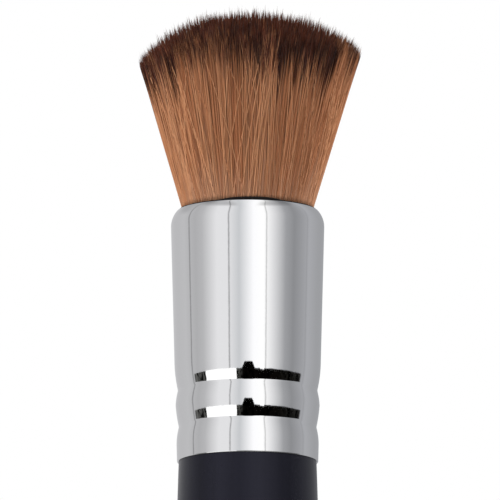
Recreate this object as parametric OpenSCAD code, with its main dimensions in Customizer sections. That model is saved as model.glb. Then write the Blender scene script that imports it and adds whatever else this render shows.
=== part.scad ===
// Kabuki makeup brush, standing on the flat base of its handle, bristles up.
// Millimetres. The origin is the centre of the handle's flat base and +Z runs
// up the brush's axis to the bristles. Heights are measured from the base,
// and depths are measured down from the ferrule's mouth.

/* [Bristles] */
// Diameter of the tuft at the corner where the flared side meets the crown
tuft_top_d = 31.6; // [24:0.1:44]
// Height of the straight flared side above the ferrule's mouth
side_h = 22; // [16:0.5:40]
// Height of the crown's centre above the corner of the flared side
crown_h = 6.9; // [2:0.1:12]
// Rings of strands round the middle one, each ring six strands more than the last
strand_rings = 11; // [10:1:12]
// Rings that belong to the core, the rest belong to the outer group
core_rings = 8; // [5:1:9]
// Gap between neighbouring strands where they pass the mouth
strand_gap = 0.1; // [0.06:0.01:0.2]
// Gap between neighbouring strands where their tips start to taper
strand_gap_top = 0.34; // [0.2:0.01:0.6]
// Length of a strand's tapered tip
tip_len = 4.6; // [2.5:0.1:8]
// Most that a strand's tip stands above or below the crown
tip_scatter = 0.45; // [0.1:0.05:1]
// Clearance between the bundle of strands and the ferrule's lip
mouth_clear = 0.35; // [0.15:0.01:0.6]

/* [Root of the tuft] */
// Depth of the top of the resin slice that holds the strands
root_depth = 12; // [9:0.5:14]
// Thickness of the resin slice that the strands are set in
slice_t = 2; // [1:0.1:3]
// Depth that the strands go into the slice
strand_embed = 0.8; // [0.4:0.1:0.9]
// Height of the thread binding round the bundle
thread_h = 2.4; // [1:0.1:5]
// Thickness of the thread binding
thread_t = 0.4; // [0.2:0.05:0.5]
// Clearance between the thread binding and the ferrule's bore
thread_clear = 0.1; // [0.05:0.01:0.2]
// Air gap between the resin plug and the end of the handle's tenon
plug_gap = 0.8; // [0.3:0.1:1]

/* [Ferrule] */
// Largest outside diameter, at the bottom of the shoulder
ferrule_d = 22; // [21:0.1:26]
// Outside diameter at the handle end, before the edge turns in
ferrule_end_d = 20.2; // [19.6:0.1:22]
// Length from the mouth to the handle end
ferrule_len = 36.5; // [34:0.5:60]
// Thickness of the metal
ferrule_wall = 0.5; // [0.35:0.05:0.7]
// Height of the rounded shoulder under the mouth
shoulder_h = 2.45; // [1.5:0.05:3]
// Radius of the rounded shoulder
shoulder_r = 3.3; // [3.1:0.05:6]
// Depth of the two crimps that grip the tenon
crimp_depth = 0.38; // [0.2:0.02:0.5]
// Height of the lower crimp above the handle end
crimp_low_h = 5; // [4:0.1:6]
// Distance between the two crimps
crimp_pitch = 5.2; // [4.4:0.1:6]
// Run of a crimp's slope above its valley
crimp_run_up = 3.8; // [2.5:0.1:4]
// Run of a crimp's slope below its valley
crimp_run_down = 2.6; // [2:0.1:3.5]
// Height of the turned-in edge at the handle end
edge_h = 0.7; // [0.4:0.05:1.2]
// Distance that the edge turns in
edge_in = 0.2; // [0.1:0.02:0.3]

/* [Handle] */
// Length of the handle that shows below the ferrule
handle_len = 78; // [60:1:140]
// Step from the ferrule's edge down to the handle's neck
handle_step = 0.12; // [0.05:0.01:0.3]
// Diameter of the belly, the handle's widest place
belly_d = 21; // [20:0.1:26]
// Distance of the belly below the ferrule
belly_drop = 38; // [20:1:50]
// Diameter of the handle above the rounded edge of its base
base_d = 18.4; // [16:0.1:20]
// Radius of the rounded edge of the base
base_edge_r = 2; // [1:0.1:4]
// Length of the tenon inside the ferrule
tenon_len = 14.5; // [14:0.1:15]
// Chamfer on the tenon's end
tenon_chamfer = 0.8; // [0.3:0.1:1.2]
// Thickness of the glue round the tenon, with its clearances
glue_t = 0.25; // [0.15:0.01:0.35]
// Clearance between pieces that seat on each other
seat_gap = 0.02; // [0.01:0.01:0.03]

/* [Hidden] */

// Steps along one crimp spacing, and segments of the rounded profiles
crimp_steps = 16;
arc_steps = 8;
belly_steps = 10;
round_fn = 96;
// Length that a cut runs past the faces it goes through
overcut = 1;

mouth_z = handle_len + ferrule_len;
tenon_top = ferrule_len - tenon_len;
ferrule_slope = (ferrule_d - ferrule_end_d) / 2 / (ferrule_len - shoulder_h);
crimp_low = ferrule_len - crimp_low_h;
crimp_high = crimp_low - crimp_pitch;
crimp_step = crimp_pitch / crimp_steps;

// Outside radius of the tapered sleeve, without its crimps, at a depth
function sleeve_r(d) = ferrule_d / 2 - ferrule_slope * (d - shoulder_h);

// How far the shoulder turns in at a depth
function shoulder_in(d) = d >= shoulder_h ? 0
    : shoulder_r - sqrt(shoulder_r * shoulder_r - pow(shoulder_h - d, 2));

// How far one crimp presses in at a depth, as two slopes that meet in a valley
function crimp_run(d, valley) = d < valley ? crimp_run_up : crimp_run_down;
function crimp_in(d, valley) =
    crimp_depth * pow(max(0, 1 - abs(d - valley) / crimp_run(d, valley)), 2);

// How far the edge at the handle end turns in at a depth
function edge_t(d) = max(0, 1 - (ferrule_len - d) / edge_h);
function edge_turn(d) = edge_in * (1 - sqrt(1 - pow(edge_t(d), 2)));

function ferrule_r(d) = sleeve_r(d) - shoulder_in(d) - edge_turn(d)
    - max(crimp_in(d, crimp_high), crimp_in(d, crimp_low));
function bore_r(d) = ferrule_r(d) - ferrule_wall;
function glue_out_r(d) = bore_r(d) - seat_gap;
function glue_in_r(d) = bore_r(d) - glue_t + seat_gap;
function tenon_r(d) = bore_r(d) - glue_t;

// Depths of the profile's points, denser where the surface curves
lip_r = ferrule_wall / 2;
lip_c = ferrule_r(lip_r) - lip_r;
shoulder_depths = [for (i = [0 : arc_steps]) lip_r + (shoulder_h - lip_r) * i / arc_steps];
crimp_first = crimp_high - crimp_run_up;
crimp_span = ferrule_len - edge_h - crimp_first;
crimp_count = floor(crimp_span / crimp_step);
crimp_depths = [for (i = [0 : crimp_count])
                crimp_high + (i - floor(crimp_run_up / crimp_step)) * crimp_step];
crimp_depths_in = [for (d = crimp_depths) if (d < ferrule_len - edge_h - crimp_step / 2) d];
edge_depths = [for (i = [0 : arc_steps])
               ferrule_len - edge_h * cos(90 * i / arc_steps)];
sleeve_depths = concat(shoulder_depths, crimp_depths_in, edge_depths);

// The tenon's profile starts below its chamfer and follows the sleeve
tenon_depths = [for (d = sleeve_depths) if (d > tenon_top + tenon_chamfer + crimp_step / 2) d];

function reversed(list) = [for (i = [len(list) - 1 : -1 : 0]) list[i]];
function at_depth(r, d) = [r, mouth_z - d];

// The sleeve of the ferrule: deep-drawn metal with a round lip and two crimps
module ferrule() {
    color("silver")
    rotate_extrude($fn = round_fn)
        polygon(concat(
            [for (d = sleeve_depths) at_depth(ferrule_r(d), d)],
            [for (d = reversed(sleeve_depths)) at_depth(bore_r(d), d)],
            [for (i = [1 : 2 * arc_steps - 1])
                at_depth(lip_c - lip_r * cos(90 * i / arc_steps),
                         lip_r - lip_r * sin(90 * i / arc_steps))]));
}

// Radius of the bundle of strands at a height above the mouth
bundle_mouth_r = bore_r(lip_r) - mouth_clear;
thread_out_r = bore_r(root_depth) - thread_clear;
thread_in_r = thread_out_r - thread_t;
bundle_root_r = thread_in_r - seat_gap;
flare = (tuft_top_d / 2 - bundle_mouth_r) / side_h;
function bundle_r(h) = h >= 0 ? bundle_mouth_r + flare * h
    : bundle_mouth_r - (bundle_root_r - bundle_mouth_r) * h / root_depth;

// Radius round one strand's three corners, which leaves the gap to its neighbours
function strand_r(h, gap) = (bundle_r(h) / strand_rings - gap) / (2 + 1 / strand_rings);

// Height above the mouth of a strand's tip, before its scatter
function crown_z(f) = side_h + crown_h * (1 - f * f);

// Angle that each ring of strands is turned against the next, so that no rows line up
ring_turn = 137.5;

// Ring number and angle of every strand
strand_spots = [for (k = [0 : strand_rings]) for (i = [1 : max(1, 6 * k)])
                [k, 60 * i / max(1, k) + ring_turn * (strand_rings - k)]];
tip_offsets = rands(-tip_scatter, tip_scatter, len(strand_spots), 7);
strand_turns = rands(0, 120, len(strand_spots), 11);

// Three corners of a strand's section at a height
function strand_ring(f, a, turn, h, gap) =
    let (s = strand_r(h, gap), c = f * (bundle_r(h) - s))
    [for (j = [0 : 2])
        [c * cos(a) + s * cos(turn + 120 * j), c * sin(a) + s * sin(turn + 120 * j), mouth_z + h]];

// A strand's ten points: root, mouth and shoulder sections, and the tip
function strand_points(i) =
    let (f = strand_spots[i][0] / strand_rings,
         a = strand_spots[i][1],
         turn = strand_turns[i],
         tip = crown_z(f) + (f == 1 ? -abs(tip_offsets[i]) : tip_offsets[i]),
         tip_c = f * bundle_r(tip))
    concat(strand_ring(f, a, turn, -root_depth - strand_embed, strand_gap),
           strand_ring(f, a, turn, 0, strand_gap),
           strand_ring(f, a, turn, tip - tip_len, strand_gap_top),
           [[tip_c * cos(a), tip_c * sin(a), mouth_z + tip]]);

// Triangles of one strand: closed root, two rings of sides, and the tapered tip
strand_faces = concat([[0, 1, 2]],
    [for (level = [0, 3]) for (j = [0 : 2])
        let (n = (j + 1) % 3)
        each [[level + j, level + 3 + j, level + 3 + n], [level + j, level + 3 + n, level + n]]],
    [for (j = [0 : 2]) [6 + j, 9, 6 + (j + 1) % 3]]);

// All the strands between two rings as one set of closed shells
module strands(first_ring, last_ring) {
    picked = [for (i = [0 : len(strand_spots) - 1])
              if (strand_spots[i][0] >= first_ring && strand_spots[i][0] <= last_ring) i];
    polyhedron(
        points = [for (i = picked) each strand_points(i)],
        faces = [for (n = [0 : len(picked) - 1]) for (f = strand_faces) [for (v = f) v + 10 * n]]);
}

// Radius where the core's resin slice ends and the outer group's starts
slice_z = mouth_z - root_depth - slice_t;
slice_r = bore_r(root_depth) - seat_gap;
split_r = (core_rings + 0.5) / strand_rings * (bundle_root_r - strand_r(-root_depth, strand_gap));

// Outer strands, which make the clean flared side, in their ring of resin
module bristles_outer() {
    color([0.56, 0.37, 0.26])
    union() {
        strands(core_rings + 1, strand_rings);
        translate([0, 0, slice_z])
        difference() {
            cylinder(h = slice_t, r = slice_r, $fn = round_fn);
            translate([0, 0, -overcut])
                cylinder(h = slice_t + 2 * overcut, r = split_r, $fn = round_fn);
        }
    }
}

// Core strands, which make the middle of the crown, in their disc of resin
module bristles_core() {
    color([0.36, 0.22, 0.16])
    union() {
        strands(0, core_rings);
        translate([0, 0, slice_z])
            cylinder(h = slice_t, r = split_r - seat_gap, $fn = round_fn);
    }
}

// Thread wound round the bundle, resting on the resin slice
module root_thread() {
    color([0.86, 0.82, 0.72])
    translate([0, 0, mouth_z - root_depth])
    difference() {
        cylinder(h = thread_h, r = thread_out_r, $fn = round_fn);
        translate([0, 0, -overcut])
            cylinder(h = thread_h + 2 * overcut, r = thread_in_r, $fn = round_fn);
    }
}

// Cast resin under the slice, which bonds the tuft to the ferrule's bore
module root_plug() {
    plug_low = tenon_top - plug_gap;
    plug_high = root_depth + slice_t;
    color([0.80, 0.66, 0.38])
    rotate_extrude($fn = round_fn)
        polygon([at_depth(0, plug_high),
                 at_depth(bore_r(plug_high) - seat_gap, plug_high),
                 at_depth(bore_r(plug_low) - seat_gap, plug_low),
                 at_depth(0, plug_low)]);
}

// Handle profile below the ferrule: neck, belly, and the base's rounded edge
neck_r = ferrule_r(ferrule_len) - handle_step;
belly_z = handle_len - belly_drop;
function upper_handle(t) =
    [belly_d / 2 - (belly_d / 2 - neck_r) * pow(1 - t, 2), handle_len - belly_drop * t];
function lower_handle(t) =
    [belly_d / 2 - (belly_d - base_d) / 2 * t * t, belly_z - (belly_z - base_edge_r) * t];
function base_edge(a) =
    [base_d / 2 - base_edge_r * (1 - cos(a)), base_edge_r * (1 - sin(a))];

// Turned wood handle with the grooved tenon that the crimps lock
module handle() {
    color([0.17, 0.17, 0.20])
    rotate_extrude($fn = round_fn)
        polygon(concat(
            [at_depth(0, tenon_top),
             at_depth(tenon_r(tenon_top + tenon_chamfer) - tenon_chamfer, tenon_top),
             at_depth(tenon_r(tenon_top + tenon_chamfer), tenon_top + tenon_chamfer)],
            [for (d = tenon_depths) at_depth(tenon_r(d), d)],
            [for (i = [0 : belly_steps]) upper_handle(i / belly_steps)],
            [for (i = [1 : belly_steps]) lower_handle(i / belly_steps)],
            [for (i = [1 : arc_steps]) base_edge(90 * i / arc_steps)],
            [[0, 0]]));
}

// Film of glue between the tenon and the ferrule's bore
module tenon_glue() {
    depths = concat([tenon_top + tenon_chamfer], tenon_depths);
    color([0.90, 0.84, 0.66])
    rotate_extrude($fn = round_fn)
        polygon(concat([for (d = depths) at_depth(glue_out_r(d), d)],
                       [for (d = reversed(depths)) at_depth(glue_in_r(d), d)]));
}

bristles_outer();
bristles_core();
root_thread();
root_plug();
ferrule();
handle();
tenon_glue();
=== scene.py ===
import math

import bpy
import numpy as np
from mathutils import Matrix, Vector
from mathutils.kdtree import KDTree


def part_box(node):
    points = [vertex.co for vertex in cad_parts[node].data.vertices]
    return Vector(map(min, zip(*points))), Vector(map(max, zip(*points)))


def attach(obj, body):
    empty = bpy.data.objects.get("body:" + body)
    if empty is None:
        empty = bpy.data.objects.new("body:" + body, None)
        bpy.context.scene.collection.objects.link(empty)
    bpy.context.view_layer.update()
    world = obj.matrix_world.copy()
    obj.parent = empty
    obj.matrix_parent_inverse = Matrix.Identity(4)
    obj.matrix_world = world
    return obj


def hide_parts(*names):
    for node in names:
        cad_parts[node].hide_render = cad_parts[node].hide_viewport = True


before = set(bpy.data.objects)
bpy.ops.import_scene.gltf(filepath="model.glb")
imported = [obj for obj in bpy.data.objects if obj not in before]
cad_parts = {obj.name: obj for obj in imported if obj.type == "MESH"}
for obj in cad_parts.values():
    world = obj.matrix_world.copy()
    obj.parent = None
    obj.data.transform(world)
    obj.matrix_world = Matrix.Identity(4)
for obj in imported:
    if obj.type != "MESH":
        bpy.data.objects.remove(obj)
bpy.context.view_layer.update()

# Ferrule: one sleeve deep-drawn from thin sheet, with a rolled lip at its mouth, a round
# shoulder and a slight taper. Two crimps are rolled in near the bottom to lock the handle,
# and the sleeve is then polished and chrome plated. All sizes are in mm.
MM = 0.001
MOUTH_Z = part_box("ferrule")[1][2] / MM
FERRULE_LEN, WALL = 36.5, 0.5
SLEEVE_TOP_R, SLEEVE_END_R = 11.0, 10.1
SHOULDER_H, SHOULDER_R = 2.45, 3.3
LIP_R, LIP_DROP = WALL / 2, 0.15
# Each crimp is a valley so far below the mouth, with a long slope above it and a shorter one
# below it
CRIMPS = (26.15, 31.45)
CRIMP_DEPTH, CRIMP_UP, CRIMP_DOWN = 0.38, 3.8, 2.6
VALLEY_ROUND = 0.12
# The cut edge at the bottom is rounded
EDGE_H, EDGE_IN = 0.14, 0.07


def crimp_in(depth, valley):
    """How far one crimp presses the sleeve in, in mm, at depths in mm below the mouth."""
    run = np.where(depth < valley, CRIMP_UP, CRIMP_DOWN)
    away = np.sqrt((depth - valley) ** 2 + VALLEY_ROUND ** 2) - VALLEY_ROUND
    return CRIMP_DEPTH * np.maximum(0, 1 - away / run) ** 2


def sleeve_r(depth):
    """Outside radius of the sleeve, in mm, at depths in mm below the mouth."""
    depth = np.asarray(depth, float)
    slope = (SLEEVE_TOP_R - SLEEVE_END_R) / (FERRULE_LEN - SHOULDER_H)
    r = SLEEVE_TOP_R - slope * (depth - SHOULDER_H)
    above = np.clip(SHOULDER_H - depth, 0, SHOULDER_H)
    r -= SHOULDER_R - np.sqrt(SHOULDER_R ** 2 - above ** 2)
    edge = np.clip(1 - (FERRULE_LEN - depth) / EDGE_H, 0, 1)
    r -= EDGE_IN * (1 - np.sqrt(1 - edge ** 2))
    return r - np.maximum(*[crimp_in(depth, valley) for valley in CRIMPS])


def placed(name, mesh):
    """Puts a finished mesh in the scene as a smooth piece."""
    mesh.validate()
    mesh.shade_smooth()
    piece = bpy.data.objects.new(name, mesh)
    bpy.context.scene.collection.objects.link(piece)
    return piece


def lathe(name, profile, segments=192):
    """A closed surface turned from (radius, height) points in mm, first and last joined."""
    turn = np.linspace(0, 2 * math.pi, segments, endpoint=False)
    verts, rows = [], []
    for r, z in profile:
        if r == 0:
            rows.append([len(verts)] * segments)
            verts.append((0.0, 0.0, z * MM))
        else:
            rows.append(range(len(verts), len(verts) + segments))
            verts += [(r * MM * math.cos(a), r * MM * math.sin(a), z * MM) for a in turn]
    faces = []
    for low, high in zip(rows, rows[1:] + rows[:1]):
        for i in range(segments):
            j = (i + 1) % segments
            corners = list(dict.fromkeys((low[i], low[j], high[j], high[i])))
            if len(corners) > 2:
                faces.append(corners)
    mesh = bpy.data.meshes.new(name)
    mesh.from_pydata(verts, [], faces)
    return placed(name, mesh)


def linear(colour):
    """An sRGB hex colour as linear red, green, blue and alpha."""
    values = [int(colour[i:i + 2], 16) / 255 for i in (1, 3, 5)]
    return [v / 12.92 if v <= 0.04045 else ((v + 0.055) / 1.055) ** 2.4 for v in values] + [1.0]


def node(tree, kind, *first, **settings):
    """Adds a node. Its first inputs are given in order, its other inputs and settings by name.

    A node that is given for an input stands for its first output in use.
    """
    made = tree.nodes.new(kind)
    inputs = dict(enumerate(first))
    for key, value in settings.items():
        if hasattr(made, key):
            setattr(made, key, value)
        else:
            inputs[key.replace("_", " ")] = value
    for key, value in inputs.items():
        if isinstance(value, bpy.types.Node):
            value = next(socket for socket in value.outputs if socket.enabled)
        if isinstance(value, bpy.types.NodeSocket):
            tree.links.new(value, made.inputs[key])
        else:
            made.inputs[key].default_value = value
    return made


def material(name):
    """A new material and its tree, which is still empty."""
    made = bpy.data.materials.new(name)
    made.use_nodes = True
    made.node_tree.nodes.clear()
    return made, made.node_tree


def dress(piece, finish, slot_name, *replaced):
    """Gives a new piece its material and body, and the CAD nodes it stands for. The slot name is not
    used.
    """
    piece.data.materials.append(finish)
    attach(piece, "root")
    if replaced:
        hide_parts(*replaced)


# The lip's round starts where the shoulder has its slope, so the two run into each other
lip_lean = math.asin((SHOULDER_H - LIP_DROP - LIP_R) / (SHOULDER_R - LIP_R))
lip_start = LIP_DROP + LIP_R * (1 - math.sin(lip_lean))
lip_centre = float(sleeve_r(lip_start)) - LIP_R * math.cos(lip_lean)
PROFILE_STEP, STRAIGHT_POINTS, EDGE_POINTS, LIP_POINTS = 0.1, 24, 11, 16
FERRULE_SEGMENTS = 256
# The bore follows every third point of the outside
BORE_EVERY = 3
outer_depths = np.concatenate([
    np.arange(lip_start, SHOULDER_H, PROFILE_STEP),
    np.linspace(SHOULDER_H, CRIMPS[0] - CRIMP_UP, STRAIGHT_POINTS),
    np.arange(CRIMPS[0] - CRIMP_UP + PROFILE_STEP, FERRULE_LEN - EDGE_H, PROFILE_STEP),
    FERRULE_LEN - EDGE_H * np.cos(np.linspace(0, math.pi / 2, EDGE_POINTS)),
])
bore_depths = [d for d in outer_depths[::-BORE_EVERY] if d > LIP_DROP + LIP_R]
ferrule_profile = [(float(sleeve_r(d)), MOUTH_Z - d) for d in outer_depths]
ferrule_profile += [(float(sleeve_r(d)) - WALL, MOUTH_Z - d) for d in bore_depths]
ferrule_profile += [(lip_centre + LIP_R * math.cos(a), MOUTH_Z - LIP_DROP + LIP_R * (math.sin(a) - 1))
                    for a in np.linspace(math.pi, lip_lean, LIP_POINTS)[:-1]]
ferrule = lathe("ferrule_sleeve", ferrule_profile, FERRULE_SEGMENTS)

# Chrome plate, polished: a near-mirror. A trace of buffing haze softens it in places, and the
# drawn metal under it is faintly wavy, which wobbles the edges of what it reflects. The haze
# is drawn coarser than the buffing marks that it stands for, so that it shows.
CHROME = "#CFCFCF"
BUFF_MM, POLISH_LOW, POLISH_HIGH = 0.35, 0.035, 0.06
WAVE_MM, WAVE_HEIGHT = 1.6, 0.008
chrome, tree = material("polished_chrome_plate")
place = node(tree, "ShaderNodeTexCoord").outputs["Object"]
haze = node(tree, "ShaderNodeTexNoise", place, Scale=1 / (BUFF_MM * MM), Detail=3.0)
polish = node(tree, "ShaderNodeMapRange", haze, To_Min=POLISH_LOW, To_Max=POLISH_HIGH)
wave = node(tree, "ShaderNodeTexNoise", place, Scale=1 / (WAVE_MM * MM), Detail=3.0, Roughness=0.6)
drawn = node(tree, "ShaderNodeBump", Height=wave, Strength=0.5, Distance=WAVE_HEIGHT * MM)
plate = node(tree, "ShaderNodeBsdfPrincipled", linear(CHROME), Metallic=1.0, Roughness=polish,
             Normal=drawn)
node(tree, "ShaderNodeOutputMaterial", plate)
dress(ferrule, chrome, "chromed_ferrule", "ferrule")

# Handle: one length of hardwood turned to a gentle barrel, with a tenon that fills the
# ferrule and takes its two crimps. It is sanded, then dipped in satin black lacquer.
HANDLE_LEN = MOUTH_Z - FERRULE_LEN
NECK_IN = 0.24
BELLY_R, BELLY_DROP = 10.5, 38.0
BASE_R, BASE_EDGE_R = 9.2, 2.0
TENON_LEN, TENON_CHAMFER, GLUE_T = 14.5, 0.8, 0.25
TENON_STEP, NECK_POINTS, BELLY_POINTS, BASE_POINTS = 0.2, 29, 25, 13
# The points of the neck crowd towards the ferrule by this power
NECK_CROWD = 2.2
neck_r = SLEEVE_END_R - NECK_IN
belly_z = HANDLE_LEN - BELLY_DROP
tenon_top = FERRULE_LEN - TENON_LEN
tenon_depths = np.arange(tenon_top + TENON_CHAMFER, FERRULE_LEN, TENON_STEP)
tenon_r = sleeve_r(tenon_depths) - WALL - GLUE_T
handle_profile = [(0, MOUTH_Z - tenon_top), (tenon_r[0] - TENON_CHAMFER, MOUTH_Z - tenon_top)]
handle_profile += [(float(r), MOUTH_Z - d) for r, d in zip(tenon_r, tenon_depths)]
handle_profile += [(float(tenon_r[-1]), HANDLE_LEN)]
handle_profile += [(BELLY_R - (BELLY_R - neck_r) * (1 - t) ** 2, HANDLE_LEN - BELLY_DROP * t)
                   for t in np.linspace(0, 1, NECK_POINTS) ** NECK_CROWD]
handle_profile += [(BELLY_R - (BELLY_R - BASE_R) * t * t, belly_z - (belly_z - BASE_EDGE_R) * t)
                   for t in np.linspace(0, 1, BELLY_POINTS)[1:]]
handle_profile += [(BASE_R - BASE_EDGE_R * (1 - math.cos(a)), BASE_EDGE_R * (1 - math.sin(a)))
                   for a in np.linspace(0, math.pi / 2, BASE_POINTS)[1:]]
handle_profile += [(0, 0)]
handle = lathe("lacquered_handle", handle_profile)

# Satin lacquer on wood, dipped: a blue-black coat with a broad soft gloss. Fine orange peel
# breaks the gloss up, and the grain shows through as faint long ripples.
LACQUER_DEEP, LACQUER_THIN, GLOSS_TINT = "#08080C", "#101017", "#DCDCFA"
GLOSS_LEVEL, SATIN_LOW, SATIN_HIGH = 0.27, 0.25, 0.34
PEEL_MM, PEEL_HEIGHT = 0.5, 0.01
# The ripples of the grain are so many times longer than they are wide
GRAIN_MM, GRAIN_RUN, GRAIN_HEIGHT = 0.9, 20, 0.02
lacquer, tree = material("satin_black_lacquer")
place = node(tree, "ShaderNodeTexCoord").outputs["Object"]
along_grain = node(tree, "ShaderNodeMapping", place, Scale=(1.0, 1.0, 1 / GRAIN_RUN))
grain = node(tree, "ShaderNodeTexNoise", along_grain, Scale=1 / (GRAIN_MM * MM), Detail=2.0)
peel = node(tree, "ShaderNodeTexNoise", place, Scale=1 / (PEEL_MM * MM), Detail=2.0)
pigment = node(tree, "ShaderNodeMix", grain, data_type="RGBA", A=linear(LACQUER_DEEP),
               B=linear(LACQUER_THIN))
satin = node(tree, "ShaderNodeMapRange", peel, To_Min=SATIN_LOW, To_Max=SATIN_HIGH)
ripple = node(tree, "ShaderNodeBump", Height=grain, Strength=0.10, Distance=GRAIN_HEIGHT * MM)
skin = node(tree, "ShaderNodeBump", Height=peel, Normal=ripple, Strength=0.25,
            Distance=PEEL_HEIGHT * MM)
coat = node(tree, "ShaderNodeBsdfPrincipled", pigment, Roughness=satin, Normal=skin,
            Specular_IOR_Level=GLOSS_LEVEL, Specular_Tint=linear(GLOSS_TINT))
node(tree, "ShaderNodeOutputMaterial", coat)
dress(handle, lacquer, "black_lacquered_wood", "handle")

# Root resin and tenon glue: epoxy cast in the bore under the filaments, and a film of it
# round the tenon. Both are hidden once the brush is together. Cast epoxy is a smooth glossy
# amber, with slow clouds from the mixing.
AMBER_DEEP, AMBER_PALE = "#C99B4A", "#E0BE7C"
CLOUD_MM, RESIN_ROUGHNESS = 2.0, 0.25


def refinish(name, finish):
    """Gives a CAD node that stays in the scene a better material."""
    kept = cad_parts[name].data.materials
    kept.clear()
    kept.append(finish)


epoxy, tree = material("cast_epoxy")
place = node(tree, "ShaderNodeTexCoord").outputs["Object"]
cloud = node(tree, "ShaderNodeTexNoise", place, Scale=1 / (CLOUD_MM * MM))
amber = node(tree, "ShaderNodeMix", cloud, data_type="RGBA", A=linear(AMBER_DEEP), B=linear(AMBER_PALE))
resin = node(tree, "ShaderNodeBsdfPrincipled", amber, Roughness=RESIN_ROUGHNESS)
node(tree, "ShaderNodeOutputMaterial", resin)
refinish("root_plug", epoxy)
refinish("tenon_glue", epoxy)

# Binding thread: cotton wound tightly round the filaments' roots, just above the resin, so
# that the bundle keeps its shape until it is cast. Waxed cotton is pale and nearly matt, and
# between its turns a darker line is painted as shade.
THREAD_MM, THREAD_ROUGHNESS = 0.3, 0.7
COTTON_TURN_SHADE, COTTON_PALE = "#B9AE92", "#E9E1CB"
# At a scale of 1 the wave texture repeats in this length
WAVE_REPEAT = math.pi / 10
thread, tree = material("waxed_cotton_thread")
place = node(tree, "ShaderNodeTexCoord").outputs["Object"]
turns = node(tree, "ShaderNodeTexWave", place, bands_direction="Z", Scale=WAVE_REPEAT / (THREAD_MM * MM))
cotton_and_turn_shade = node(tree, "ShaderNodeMix", turns.outputs["Fac"], data_type="RGBA", A=linear(COTTON_TURN_SHADE),
              B=linear(COTTON_PALE))
wound = node(tree, "ShaderNodeBsdfPrincipled", cotton_and_turn_shade, Roughness=THREAD_ROUGHNESS)
node(tree, "ShaderNodeOutputMaterial", wound)
refinish("root_thread", thread)

# Bristles: thousands of tapered synthetic filaments, drawn fewer and thicker than real ones.
# The knot is shaped in a domed cup, bound, cast in resin and pulled up through the sleeve, so
# that its sides flare from the mouth and its crown is a shallow dome.
SIDE_H, TOP_R = 22.0, 15.85
CROWN_H, CROWN_POWER = 6.25, 2.6
MOUTH_BUNDLE_R, ROOT_BUNDLE_R = 9.35, 9.7
ROOT_DEPTH, ROOT_SET = 12.0, 0.8
# The rim is higher on the right than on the left, its last filaments are a little shorter,
# and the whole tuft leans slightly to the right
RIM_TILT, RIM_POWER = 0.8, 3
RIM_DROP, DROP_POWER = 0.3, 40
LEAN = 0.15
# Each filament tapers over its last stretch: shares of the way up it, and of the full width
TAPER_LEN = 6.5
TAPER = ((0.0, 1.0), (0.5, 0.8), (0.82, 0.45), (1.0, 0.0))
# Its full width is off by up to this share
WIDTH_SPREAD = 0.25
# How far it bows between its ends in mm, how far it drifts round the tuft in radians, and how
# closely those near the side are held to it
BOW, DRIFT, HOLD_POWER = 0.035, 0.022, 8
# The tips near the rim fan out by SPLAY mm, which sets in with these powers of the radius and
# the height, and may fray past the side by FRAY mm
SPLAY, SPLAY_POWER, SPLAY_RISE, FRAY = 0.5, 3, 10, 0.08
# A few filaments went astray over the side. They are thicker, paler and hardly dyed, longer in
# front and behind or shorter by chance, in mm, and drift further round the tuft, in radians
STRAY_WIDE, STRAY_SHADE, STRAY_DYE = 0.45, 0.30, 0.9
STRAY_LONG, STRAY_SHORT, STRAY_DRIFT = 2.5, 5.0, 0.5
# How deep the dye goes in mm: at the least, how much more by chance, and how much less at the
# rim, where it changes with this power of the radius
DYE_LEAST, DYE_SPREAD = 1.0, 5.4
DYE_SHORT, DYE_POWER = 4.0, 4
# How much deeper the rim is dyed, in mm, from the left (-1) over the middle (0) to the right (1)
DYE_LINE = ((-1.0, 3.6), (-0.9, 0.3), (-0.8, 2.0), (-0.65, -1.6), (-0.4, -0.5), (-0.2, -0.2),
            (0.0, 1.9), (0.2, 1.1), (0.45, 2.0), (0.65, 4.0), (0.8, 1.4), (0.9, -1.8), (1.0, -1.0))
# The map of the filaments has a lane across for each tone, and the longest strand down it. On
# it the dye of every filament starts to fade at the same distance from the tip.
LANES, LANE_EDGE, STRAND_MAX, DYE_FROM = 128, 0.15, 56.0, 9.0
ROOT_FACE_V = 0.01
MID_TONE, TONE_SPREAD = 0.5, 0.08
GOLDEN_ANGLE = math.pi * (3 - math.sqrt(5))
TINY = 1e-6
rng = np.random.default_rng(20)


def tuft_r(height):
    """Outside radius of the tuft, in mm, at heights in mm above the mouth."""
    flared = MOUTH_BUNDLE_R + (TOP_R - MOUTH_BUNDLE_R) * height / SIDE_H
    rooted = MOUTH_BUNDLE_R - (ROOT_BUNDLE_R - MOUTH_BUNDLE_R) * height / ROOT_DEPTH
    return np.where(height >= 0, flared, rooted)


def spots(count, low, high):
    """Radius shares and azimuths of filaments spread evenly between two shares."""
    i = np.arange(count) + 0.5
    return np.sqrt(low ** 2 + (high ** 2 - low ** 2) * i / count), i * GOLDEN_ANGLE % (2 * math.pi)


# The knot falls into broad locks round its rim, some dipped deeper or a little paler
LOCKS, LOCK_DYE, LOCK_SHADE = 84, 0.9, 0.06
lock_turn = np.linspace(-math.pi, math.pi, LOCKS + 1)
lock_luck = rng.normal(0, 1, (2, LOCKS + 1))
lock_luck[:, -1] = lock_luck[:, 0]

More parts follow.
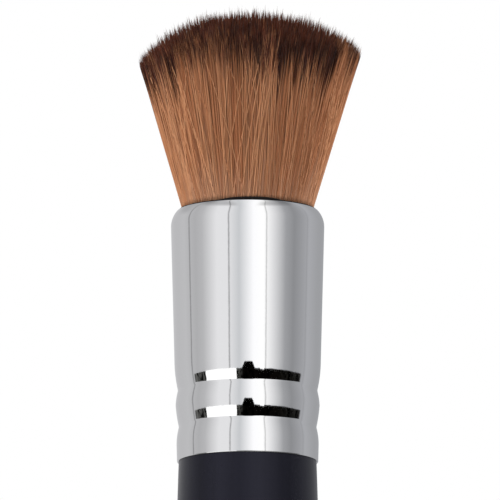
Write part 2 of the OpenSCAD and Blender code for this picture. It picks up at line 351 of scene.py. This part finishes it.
# Tips lean together in small clumps, a set distance apart give or take a share of it, and each
# clump is a little higher or lower, dipped a little deeper and a little paler or darker
CLUMP_APART, CLUMP_SCATTER = 0.5, 0.3
CLUMP_PULL, PULL_POWER = 0.7, 7
CLUMP_RISE, CLUMP_DYE, CLUMP_SHADE = 0.24, 1.1, 0.07
clump_count = int(math.pi * (TOP_R / CLUMP_APART) ** 2)
clump_f, clump_turn = spots(clump_count, 0.0, 1.0)
clumps = np.stack([clump_f * np.cos(clump_turn), clump_f * np.sin(clump_turn)], 1)
clumps += rng.normal(0, CLUMP_SCATTER * CLUMP_APART / TOP_R, clumps.shape)
clump_luck = rng.normal(0, 1, (clump_count, 3))
clump_tree = KDTree(clump_count)
for number, (x, y) in enumerate(clumps):
    clump_tree.insert((x, y, 0), number)
clump_tree.balance()


def filaments(name, points, tone, depth):
    """Closed three-sided filaments as one mesh, from rings of corners up to a single point.

    A filament's tone picks its lane of the map, and depth says how far down it each ring lies.
    """
    count, rings = depth.shape[0], depth.shape[1] - 1
    per = rings * 3 + 1
    sides = [(3 * k + j, 3 * k + (j + 1) % 3, 3 * k + 3 + (j + 1) % 3, 3 * k + 3 + j)
             for k in range(rings - 1) for j in range(3)]
    ends = [(per - 4 + j, per - 4 + (j + 1) % 3, per - 1) for j in range(3)]
    ends.append((2, 1, 0))
    corners = np.array([v for face in sides + ends for v in face])
    loops = (np.arange(count) * per)[:, None] + corners
    sizes = np.tile([len(face) for face in sides + ends], count)
    mesh = bpy.data.meshes.new(name)
    mesh.vertices.add(count * per)
    mesh.vertices.foreach_set("co", (points.reshape(count, -1, 3)[:, :per] * MM).ravel())
    mesh.loops.add(loops.size)
    mesh.loops.foreach_set("vertex_index", loops.ravel())
    mesh.polygons.add(len(sizes))
    mesh.polygons.foreach_set("loop_start", np.concatenate([[0], np.cumsum(sizes)[:-1]]))
    mesh.polygons.foreach_set("loop_total", sizes)
    left, right = LANE_EDGE, 1 - LANE_EDGE
    wide = [left, right, right, left] * len(sides) + [left, right, 0.5] * len(ends)
    u = (np.clip(tone * LANES, 0, LANES - 1).astype(int) + np.array(wide)) / LANES
    v = 1 - depth[:, corners // 3] / STRAND_MAX
    # The root's end face lies flat across the strand, so one corner is moved to give it room
    v[:, -2] -= ROOT_FACE_V
    layer = mesh.uv_layers.new(name="OFBake")
    layer.data.foreach_set("uv", np.stack([u, v], 2).ravel())
    mesh.update()
    return placed(name, mesh)


def bristles(name, count, low, high, stations, width, scatter, stray_share):
    """The filaments between two shares of the tuft's radius, from the resin to their tips.

    Every array has a row for each filament, and those that run up it a column for each ring.
    """
    each = (count, 1)
    f, azimuth = spots(count, low, high)
    near = [clump_tree.find((x, y, 0))[1] for x, y in zip(f * np.cos(azimuth), f * np.sin(azimuth))]
    clump = clumps[near].T[:, :, None]
    rise, dye, shade = clump_luck[near].T[:, :, None]
    f, azimuth = f[:, None], azimuth[:, None]
    bearing = (azimuth + math.pi) % (2 * math.pi) - math.pi
    deep, fair = [np.interp(bearing, lock_turn, luck) for luck in lock_luck]
    astray = rng.uniform(0, 1, each) < stray_share
    f = np.where(astray, 1.0, f)
    drift = rng.normal(0, DRIFT, each) + astray * rng.uniform(-STRAY_DRIFT, STRAY_DRIFT, each)

    # How high each tip is, and from there the rings and their widths
    tip = SIDE_H + CROWN_H * (1 - f ** CROWN_POWER)
    tip += RIM_TILT * f ** RIM_POWER * np.cos(azimuth + drift) - RIM_DROP * f ** DROP_POWER
    tip += CLUMP_RISE * rise + rng.normal(0, scatter, each)
    tip += astray * (STRAY_LONG * np.sin(azimuth) ** 2 - rng.uniform(0, STRAY_SHORT, each))
    taper = tip - TAPER_LEN
    taper_up, taper_wide = np.array(TAPER).T
    root = np.full(each, -ROOT_DEPTH - ROOT_SET)
    height = np.hstack([root, taper * np.array(stations), taper + TAPER_LEN * taper_up])
    share = np.clip(height / tip, 0, 1)
    half = width / 2 * rng.uniform(1 - WIDTH_SPREAD, 1 + WIDTH_SPREAD, each) * np.ones(height.shape)
    half *= 1 + STRAY_WIDE * astray
    half[:, -len(TAPER):] *= taper_wide

    # Each ring lies along the flare, bowed, pulled to its clump, and past the side only by the fray
    limit = tuft_r(height) - half
    turned = azimuth + drift * share
    bow = rng.normal(0, BOW, (2, count, 1)) * 4 * share * (1 - share)
    pull = CLUMP_PULL * share ** PULL_POWER * ~astray
    own = f * limit * np.array([np.cos(turned), np.sin(turned)])
    lies = own * (1 - pull) + clump * limit * pull + bow
    reach = np.maximum(np.hypot(*lies), TINY)
    fanned = share ** SPLAY_RISE * ~astray
    hold = f ** HOLD_POWER * (1 - fanned)
    wanted = np.minimum(reach * (1 - hold) + f * limit * hold, limit)
    wanted += fanned * f ** SPLAY_POWER * SPLAY
    wanted = np.minimum(wanted, limit + fanned * FRAY)
    lies = lies * wanted / reach
    lies[0] += LEAN * np.maximum(height, 0) / SIDE_H
    around = rng.uniform(0, 2 * math.pi, (count, 1, 1)) + np.arange(3) * 2 * math.pi / 3
    x, y = lies[:, :, :, None] + half[:, :, None] * np.array([np.cos(around), np.sin(around)])
    z = np.repeat(height[:, :, None], 3, 2) + MOUTH_Z

    # How pale the filament is, how deep it is dyed, and where that puts its rings on the map
    tone = MID_TONE + CLUMP_SHADE * shade + LOCK_SHADE * fair + STRAY_SHADE * astray
    tone += TONE_SPREAD * rng.normal(0, 1, each)
    dipped = DYE_LEAST + DYE_SPREAD * rng.uniform(0, 1, each) - CLUMP_DYE * dye - LOCK_DYE * deep
    dipped += f ** DYE_POWER * (np.interp(np.cos(azimuth), *zip(*DYE_LINE)) - DYE_SHORT)
    dipped *= 1 - STRAY_DYE * astray
    below = tip - height
    start = DYE_FROM * np.clip(1 - dipped, 0, 1)
    dark = start + (DYE_FROM - start) * below / np.maximum(dipped, TINY)
    depth = np.where(below < dipped, dark, DYE_FROM + below - dipped)
    return filaments(name, np.stack([x, y, z], 3), tone, np.maximum(depth, 0))


# The knot in three groups: how many, between which shares of the radius, where up the shaft
# they have rings, their width and the scatter of their tips in mm, and the share astray
CORE_SHARE, MIDDLE_SHARE = 0.84, 0.93
core = bristles("bristles_crown", 7000, 0.0, CORE_SHARE, (0.0,), 0.15, 0.32, 0.0)
middle = bristles("bristles_middle", 3800, CORE_SHARE, MIDDLE_SHARE, (0.0, 0.5), 0.13, 0.28, 0.0)
side = bristles("bristles_side", 5700, MIDDLE_SHARE, 1.0, (0.0, 0.5), 0.11, 0.26, 0.035)

# PBT filament, extruded in caramel and dip-dyed: a soft satin gloss in fine long streaks, and
# tips of a deep brown that is nearly black in most filaments and reddish in a few.
CARAMEL_DARK, CARAMEL_LIGHT, CARAMEL_PALE = "#9A5B39", "#BE8A65", "#B68A6E"
# The last of these colours is painted shade close to the mouth
DYE_DARK, DYE_LIGHT, DYE_THIN, MOUTH_SHADOW = "#090302", "#8A4E3C", "#663826", "#1C120C"
FIBRE_GLOSS, FIBRE_LOW, FIBRE_HIGH = 0.06, 0.40, 0.55
STREAK_MM, STREAK_SHARE, DARK_POWER = 3.0, 0.35, 3.0
DYE_FADE = 4.4
fibre, tree = material("dip_dyed_pbt_filament")
filament = node(tree, "ShaderNodeUVMap", uv_map="OFBake")
across, along = node(tree, "ShaderNodeSeparateXYZ", filament).outputs[:2]
from_tip = node(tree, "ShaderNodeMapRange", along, From_Min=1.0, From_Max=0.0, To_Max=STRAND_MAX)
stretched = node(tree, "ShaderNodeMapping", filament, Scale=(LANES, STRAND_MAX / STREAK_MM, 1.0))
streak = node(tree, "ShaderNodeTexNoise", stretched, Detail=1.0)
centred = node(tree, "ShaderNodeMath", streak, -0.5, operation="ADD")
shade = node(tree, "ShaderNodeMath", centred, STREAK_SHARE, across, operation="MULTIPLY_ADD")
caramel = node(tree, "ShaderNodeMix", shade, data_type="RGBA", A=linear(CARAMEL_DARK),
               B=linear(CARAMEL_LIGHT))
mostly_dark = node(tree, "ShaderNodeMath", shade, DARK_POWER, operation="POWER")
dyed = node(tree, "ShaderNodeMix", mostly_dark, data_type="RGBA", A=linear(DYE_DARK),
            B=linear(DYE_LIGHT))
# The points are so thin that light shows through them, which makes the dye look browner
POINT_TO, POINT_SHARE = 3.2, 0.8
fine = node(tree, "ShaderNodeMapRange", from_tip, From_Max=POINT_TO, To_Min=POINT_SHARE, To_Max=0.0)
pointed = node(tree, "ShaderNodeMix", fine, data_type="RGBA", A=dyed, B=linear(DYE_THIN))
undyed = node(tree, "ShaderNodeMapRange", from_tip, interpolation_type="SMOOTHSTEP",
              From_Min=DYE_FROM, From_Max=DYE_FROM + DYE_FADE)
two_tone = node(tree, "ShaderNodeMix", undyed, data_type="RGBA", A=pointed, B=caramel)
# Far from the dye the caramel is a little paler
PALE_FROM, PALE_TO, PALE_SHARE = 24.5, 31.0, 0.65
pale = node(tree, "ShaderNodeMapRange", from_tip, interpolation_type="SMOOTHSTEP",
            From_Min=PALE_FROM, From_Max=PALE_TO, To_Max=PALE_SHARE)
paled = node(tree, "ShaderNodeMix", pale, data_type="RGBA", A=two_tone, B=linear(CARAMEL_PALE))
# Close to the mouth the filaments are darkened: painted shade for the contact shadow at the lip
MOUTH_SHADOW_H, UNSHADOWED_SHARE = 0.9, 0.45
place = node(tree, "ShaderNodeTexCoord").outputs["Object"]
level = node(tree, "ShaderNodeSeparateXYZ", place).outputs["Z"]
unshadowed = node(tree, "ShaderNodeMapRange", level, interpolation_type="SMOOTHSTEP",
             From_Min=MOUTH_Z * MM, From_Max=(MOUTH_Z + MOUTH_SHADOW_H) * MM, To_Min=UNSHADOWED_SHARE)
mouth_shadowed = node(tree, "ShaderNodeMix", unshadowed, data_type="RGBA", A=linear(MOUTH_SHADOW), B=paled)
satin = node(tree, "ShaderNodeMapRange", streak, To_Min=FIBRE_LOW, To_Max=FIBRE_HIGH)
strand = node(tree, "ShaderNodeBsdfPrincipled", mouth_shadowed, Roughness=satin,
              Specular_IOR_Level=FIBRE_GLOSS)
node(tree, "ShaderNodeOutputMaterial", strand)
dress(core, fibre, "bristle_fibre", "bristles_core")
dress(middle, fibre, "bristle_fibre", "bristles_outer")
dress(side, fibre, "bristle_fibre", "bristles_outer")
# The plating mirrors the tent alone, as in the photograph, and not the filaments over it
for tuft in (core, middle, side):
    tuft.visible_glossy = False

# Mouth shade: a black bead between the filaments and the lip, as painted shade for the gap where
# they enter. It rises in front to a thin crescent, and elsewhere it is only a dark line.
BEAD_IN_R, BEAD_DEPTH, BEAD_ROUND = 9.2, 0.8, 0.12
BEAD_HIGH, BEAD_POWER = 0.34, 3
BEAD_MIDDLE, BEAD_REACH = math.radians(3.5), math.radians(29)
# Its outer edge is hidden in the lip, so far in from the middle of the lip's round
BEAD_UNDER_LIP = 0.1
BEAD_OUT_R = lip_centre - BEAD_UNDER_LIP
bead_top = MOUTH_Z + BEAD_HIGH
bead = lathe("mouth_shade_bead", [
    (BEAD_IN_R, MOUTH_Z - BEAD_DEPTH), (BEAD_OUT_R, MOUTH_Z - BEAD_DEPTH), (BEAD_OUT_R, MOUTH_Z),
    (BEAD_OUT_R - BEAD_ROUND, bead_top), (BEAD_IN_R, bead_top)])
for corner in bead.data.vertices:
    if corner.co.z > (MOUTH_Z + BEAD_HIGH / 2) * MM:
        off_middle = (math.atan2(corner.co.x, -corner.co.y) - BEAD_MIDDLE) / BEAD_REACH
        bulge = max(0.0, 1 - abs(off_middle) ** BEAD_POWER)
        corner.co.z = (MOUTH_Z + BEAD_HIGH * bulge) * MM

# Painted shade at the mouth: nearly black, dull and a little lumpy.
MOUTH_SHADE_DEEP, MOUTH_SHADE_PALE = "#050403", "#140E0B"
LUMP_MM, MOUTH_SHADE_GLOSS, MOUTH_SHADE_ROUGHNESS = 0.6, 0.1, 0.5
painted_bead_shade, tree = material("painted_mouth_shade")
place = node(tree, "ShaderNodeTexCoord").outputs["Object"]
lumps = node(tree, "ShaderNodeTexNoise", place, Scale=1 / (LUMP_MM * MM))
mouth_shade_colour = node(tree, "ShaderNodeMix", lumps, data_type="RGBA", A=linear(MOUTH_SHADE_DEEP), B=linear(MOUTH_SHADE_PALE))
mouth_shade_surface = node(tree, "ShaderNodeBsdfPrincipled", mouth_shade_colour, Roughness=MOUTH_SHADE_ROUGHNESS,
              Specular_IOR_Level=MOUTH_SHADE_GLOSS)
node(tree, "ShaderNodeOutputMaterial", mouth_shade_surface)
dress(bead, painted_bead_shade, "tenon_adhesive")

# Root slice: the disc of resin that the filaments are cast into, low in the sleeve. It is
# the same cast epoxy as the plug under it.
SLICE_T, SEAT_GAP = 2.0, 0.02
slice_r = float(sleeve_r(ROOT_DEPTH + SLICE_T)) - WALL - SEAT_GAP
slice_top = MOUTH_Z - ROOT_DEPTH
root_slice = lathe("root_slice", [
    (0, slice_top), (slice_r - SEAT_GAP, slice_top), (slice_r, slice_top - SEAT_GAP),
    (slice_r, slice_top - SLICE_T), (0, slice_top - SLICE_T)])
dress(root_slice, epoxy, "root_resin")

# Floor: a round table under the brush, covered with plain pale matt paper, which fades into a
# white backdrop further out. It keeps the brush's soft shadow, and from below it isn't seen.
# Its radius and where it fades are in metres.
FLOOR_R, FLOOR_CORNERS = 1.2, 128
FADE_FROM, FADE_TO = 0.10, 0.45
PAPER, PAPER_ROUGHNESS = "#EDEDEE", 0.9
bpy.ops.mesh.primitive_circle_add(vertices=FLOOR_CORNERS, radius=FLOOR_R, fill_type="NGON")
floor = bpy.context.object
floor.name = "table_top"
paper, tree = material("pale_table_paper")
place = node(tree, "ShaderNodeTexCoord").outputs["Object"]
seen = node(tree, "ShaderNodeLightPath").outputs["Is Camera Ray"]
reach = node(tree, "ShaderNodeVectorMath", place, operation="LENGTH")
fade = node(tree, "ShaderNodeMapRange", reach, interpolation_type="SMOOTHSTEP", From_Min=FADE_FROM,
            From_Max=FADE_TO)
faded = node(tree, "ShaderNodeMath", fade, seen, operation="MULTIPLY")
matt = node(tree, "ShaderNodeBsdfPrincipled", linear(PAPER), Roughness=PAPER_ROUGHNESS)
backdrop = node(tree, "ShaderNodeEmission")
top = node(tree, "ShaderNodeMixShader", faded, matt, backdrop)
underside = node(tree, "ShaderNodeNewGeometry").outputs["Backfacing"]
under = node(tree, "ShaderNodeMath", underside, seen, operation="MULTIPLY")
clear = node(tree, "ShaderNodeBsdfTransparent")
table = node(tree, "ShaderNodeMixShader", under, top, clear)
node(tree, "ShaderNodeOutputMaterial", table)
floor.data.materials.append(paper)
# What the metal sees of the table is part of the tent below
floor.visible_glossy = False

# Tent: white cloth panels all round the brush, which light it evenly. The metal sees the
# panels, their sewn seams, and the dark slot that the picture is taken through, with one lit
# window beside it. To the eye and to everything else the tent is plain white.
# How strongly its plain white lights the brush, and how strong the metal sees it
TENT_LEVEL, TENT_GAIN = 0.365, 1.62
# Brightness of the cloth, as azimuth in degrees (0 in front, 90 to the right) and grey
CLOTH = ((-180, "#A8A8AA"), (-135, "#B3B3B5"), (-112, "#B9B9BB"), (-86, "#ACACAE"), (-73, "#B4B4B6"),
         (-48, "#E0E0E2"), (-30, "#E0E0E2"), (-13, "#C5C7CA"), (9, "#FBFBFD"), (24, "#FFFFFF"),
         (40, "#DADADC"), (60, "#9C9DA0"), (75, "#8A8B8E"), (108, "#A5A6AA"), (135, "#98999C"),
         (180, "#88898C"))
# Greys of the dark room behind the slot, in the same way
ROOM = ((-180, "#6A6A68"), (-100, "#6A6A68"), (-72, "#484846"), (-17, "#4C4C48"), (-9.5, "#343432"),
        (-8, "#060504"), (50, "#0A0806"), (95, "#242422"), (180, "#242422"))
# The seams are darker lines: azimuth, half width in degrees, and how much darker
SEAMS = ((-99, 2.2, 0.5), (-28.6, 1.9, 0.6), (28.6, 1.7, 0.45), (102, 2.2, 0.12))
# Parts that are darker: how much, and the share of each direction at which that starts and is
# full. They are the roof at both sides, its back corner on the left, and the table low down.
SHADES = ((0.4, ("up", 0.74, 0.9), ("aside", 0.13, 0.33)),
          (0.22, ("up", 0.36, 0.58), ("ahead", -0.15, -0.55), ("right", 0.0, -0.2)),
          (0.5, ("up", -0.45, -0.6)))
world = bpy.data.worlds.new("white_tent")
world.use_nodes = True
bpy.context.scene.world = world
tree = world.node_tree
tree.nodes.clear()
way = node(tree, "ShaderNodeTexCoord").outputs["Generated"]
right, back, up = node(tree, "ShaderNodeSeparateXYZ", way).outputs
ahead = node(tree, "ShaderNodeMath", back, -1.0, operation="MULTIPLY")
aside = node(tree, "ShaderNodeMath", right, operation="ABSOLUTE")

# The panels lean in over the top of the tent, the side ones more than the front ones, so
# higher up each seam swings to the front
ROOF_LEAN, SIDE_LEAN = 0.62, 0.5
up_squared = node(tree, "ShaderNodeMath", up, up, operation="MULTIPLY")
level_squared = node(tree, "ShaderNodeMath", 1.0, up_squared, operation="SUBTRACT")
level = node(tree, "ShaderNodeMath", level_squared, operation="SQRT")
steep = node(tree, "ShaderNodeMath", 1.0, level, operation="SUBTRACT")
lean = node(tree, "ShaderNodeMath", ahead, -SIDE_LEAN, ROOF_LEAN, operation="MULTIPLY_ADD")
leaned = node(tree, "ShaderNodeMath", steep, lean, ahead, operation="MULTIPLY_ADD")
radians = node(tree, "ShaderNodeMath", right, leaned, operation="ARCTAN2")
azimuth = node(tree, "ShaderNodeMath", radians, 180 / math.pi, operation="MULTIPLY")
turn = node(tree, "ShaderNodeMath", azimuth, 1 / 360, 0.5, operation="MULTIPLY_ADD")
ramps = []
for greys in (CLOTH, ROOM):
    ramp = node(tree, "ShaderNodeValToRGB", turn)
    stops = ramp.color_ramp.elements
    for angle, grey in greys[1:-1]:
        stops.new(angle / 360 + 0.5).color = linear(grey)
    stops[0].color, stops[-1].color = linear(greys[0][1]), linear(greys[-1][1])
    ramps.append(ramp)
cloth, room = ramps
ways = {"right": right, "ahead": ahead, "up": up, "aside": aside}
brightness = 1.0
for darker, *edges in SHADES:
    for name, start, full in edges:
        edge = node(tree, "ShaderNodeMapRange", ways[name], interpolation_type="SMOOTHSTEP",
                    From_Min=start, From_Max=full)
        darker = node(tree, "ShaderNodeMath", darker, edge, operation="MULTIPLY")
    brightness = node(tree, "ShaderNodeMath", brightness, darker, operation="SUBTRACT")
for angle, half_width, darker in SEAMS:
    off = node(tree, "ShaderNodeMath", azimuth, angle, operation="SUBTRACT")
    off = node(tree, "ShaderNodeMath", off, operation="ABSOLUTE")
    seam = node(tree, "ShaderNodeMapRange", off, From_Max=half_width, To_Min=1 - darker)
    brightness = node(tree, "ShaderNodeMath", brightness, seam, operation="MULTIPLY")
panels = node(tree, "ShaderNodeVectorMath", cloth, operation="SCALE", Scale=brightness)

# The slot in the front of the tent: its sagging top edge, the notch over the lens, and the lit
# window and its small neighbour. What lies left or right is a share of the distance ahead, and
# the rest is a share of the whole distance
SLOT_TOP, SLOT_SAG, SLOT_LOW, SLOT_BACK, SLOT_SOFT = -0.062, -0.066, -0.5, -0.12, 0.05
NOTCH_LEFT, NOTCH_RIGHT, NOTCH_SOFT, NOTCH_H = -0.07, 0.115, 0.1, 0.1
WINDOW_LEFT, WINDOW_RIGHT, WINDOW_LOW = -2.95, -0.325, -0.42
SPOT_LEFT, SPOT_RIGHT, SPOT_LOW, SPOT_HIGH = 0.36, 0.5, -0.137, -0.10
# The window is brighter than white
WINDOW_GLOW = (1.1, 1.1, 1.1, 1.0)
NEVER_ZERO = 0.001
forward = node(tree, "ShaderNodeMath", ahead, NEVER_ZERO, operation="MAXIMUM")
across = node(tree, "ShaderNodeMath", right, forward, operation="DIVIDE")


def inside(value, low, high):
    """Nodes that give 1 where a value lies between two others, and 0 elsewhere."""
    over = node(tree, "ShaderNodeMath", value, low, operation="GREATER_THAN")
    short = node(tree, "ShaderNodeMath", value, high, operation="LESS_THAN")
    return node(tree, "ShaderNodeMath", over, short, operation="MULTIPLY")


notch = NOTCH_H
for outer, inner in ((NOTCH_LEFT - NOTCH_SOFT, NOTCH_LEFT), (NOTCH_RIGHT + NOTCH_SOFT, NOTCH_RIGHT)):
    edge = node(tree, "ShaderNodeMapRange", across, interpolation_type="SMOOTHSTEP", From_Min=outer,
                From_Max=inner)
    notch = node(tree, "ShaderNodeMath", notch, edge, operation="MULTIPLY")
sag = node(tree, "ShaderNodeMath", ahead, SLOT_SAG, SLOT_TOP, operation="MULTIPLY_ADD")
slot_top = node(tree, "ShaderNodeMath", sag, notch, operation="ADD")
slot_end = node(tree, "ShaderNodeMapRange", ahead, From_Min=SLOT_BACK, From_Max=SLOT_BACK + SLOT_SOFT)
slot = node(tree, "ShaderNodeMath", inside(up, SLOT_LOW, slot_top), slot_end, operation="MULTIPLY")
window = node(tree, "ShaderNodeMath", inside(up, WINDOW_LOW, slot_top),
              inside(across, WINDOW_LEFT, WINDOW_RIGHT), operation="MULTIPLY")
spot = node(tree, "ShaderNodeMath", inside(up, SPOT_LOW, SPOT_HIGH),
            inside(across, SPOT_LEFT, SPOT_RIGHT), operation="MULTIPLY")
lit = node(tree, "ShaderNodeMath", window, spot, operation="MAXIMUM")

# The room is full of things, so its dark is broken up
CLUTTER, CLUTTER_DARK, CLUTTER_LIGHT = 14.0, 0.38, 0.62
clutter = node(tree, "ShaderNodeTexNoise", way, Scale=CLUTTER, Detail=3.0)
patchy = node(tree, "ShaderNodeMapRange", clutter, interpolation_type="SMOOTHSTEP",
              From_Min=CLUTTER_DARK, From_Max=CLUTTER_LIGHT)
murky = node(tree, "ShaderNodeVectorMath", room, operation="SCALE", Scale=patchy)
slotted = node(tree, "ShaderNodeMix", slot, data_type="RGBA", A=panels, B=murky)
windowed = node(tree, "ShaderNodeMix", lit, data_type="RGBA", A=slotted, B=WINDOW_GLOW)
path = node(tree, "ShaderNodeLightPath").outputs
plain = node(tree, "ShaderNodeBackground", linear("#FFFFFF"), Strength=TENT_LEVEL)
mirrored = node(tree, "ShaderNodeBackground", windowed, Strength=TENT_GAIN)
white = node(tree, "ShaderNodeBackground", linear("#FFFFFF"), Strength=1.0)
tent = node(tree, "ShaderNodeMixShader", path["Is Glossy Ray"], plain, mirrored)
seen = node(tree, "ShaderNodeMath", path["Is Camera Ray"], path["Is Transmission Ray"],
            operation="MAXIMUM")
sky = node(tree, "ShaderNodeMixShader", seen, tent, white)
node(tree, "ShaderNodeOutputWorld", sky)

# Lamps: three square softboxes outside the tent, which give the tuft and the handle their
# shape and which the metal doesn't show. Each has its azimuth in degrees, its distance,
# height and size in metres, and its power in watts.
LAMPS = (("left_softbox", -50, 1.2, 0.5, 0.6, 13.2),
         ("left_rear_softbox", -120, 1.1, 0.4, 0.5, 3.0),
         ("right_softbox", 88, 1.1, 0.4, 0.5, 10.2))
mouth = Vector((0, 0, MOUTH_Z * MM))
for name, azimuth, distance_m, height_m, size_m, watts in LAMPS:
    softbox = bpy.data.lights.new(name, "AREA")
    softbox.size, softbox.energy = size_m, watts
    lamp = bpy.data.objects.new(name, softbox)
    turn = math.radians(azimuth)
    lamp.location = (distance_m * math.sin(turn), -distance_m * math.cos(turn), height_m)
    lamp.rotation_mode = "QUATERNION"
    lamp.rotation_quaternion = (lamp.location - mouth).to_track_quat("Z", "Y")
    lamp.visible_glossy = False
    bpy.context.scene.collection.objects.link(lamp)

# Camera: a long lens a little below the mouth of the ferrule, looking up ten degrees, with
# the axis of the brush just left of the middle of the square frame.
FRAME_MM, DISTANCE_M, SENSOR_MM = 71.75, 1.5, 36.0
AIM_RIGHT, AIM_BELOW_MOUTH = 0.34, 5.7
LOOK_UP = math.radians(10)
CLIP_END_M = 20
lens = bpy.data.cameras.new("long_lens")
lens.sensor_width = SENSOR_MM
lens.lens = SENSOR_MM * DISTANCE_M / (FRAME_MM * MM)
lens.clip_end = CLIP_END_M
camera = bpy.data.objects.new("camera", lens)
bpy.context.scene.collection.objects.link(camera)
aim = Vector((AIM_RIGHT, 0.0, MOUTH_Z - AIM_BELOW_MOUTH)) * MM
sight = Vector((0, math.cos(LOOK_UP), math.sin(LOOK_UP)))
camera.location = aim - sight * DISTANCE_M
camera.rotation_mode = "QUATERNION"
camera.rotation_quaternion = sight.to_track_quat("-Z", "Y")
bpy.context.scene.camera = camera
bpy.context.scene.view_settings.view_transform = "Standard"
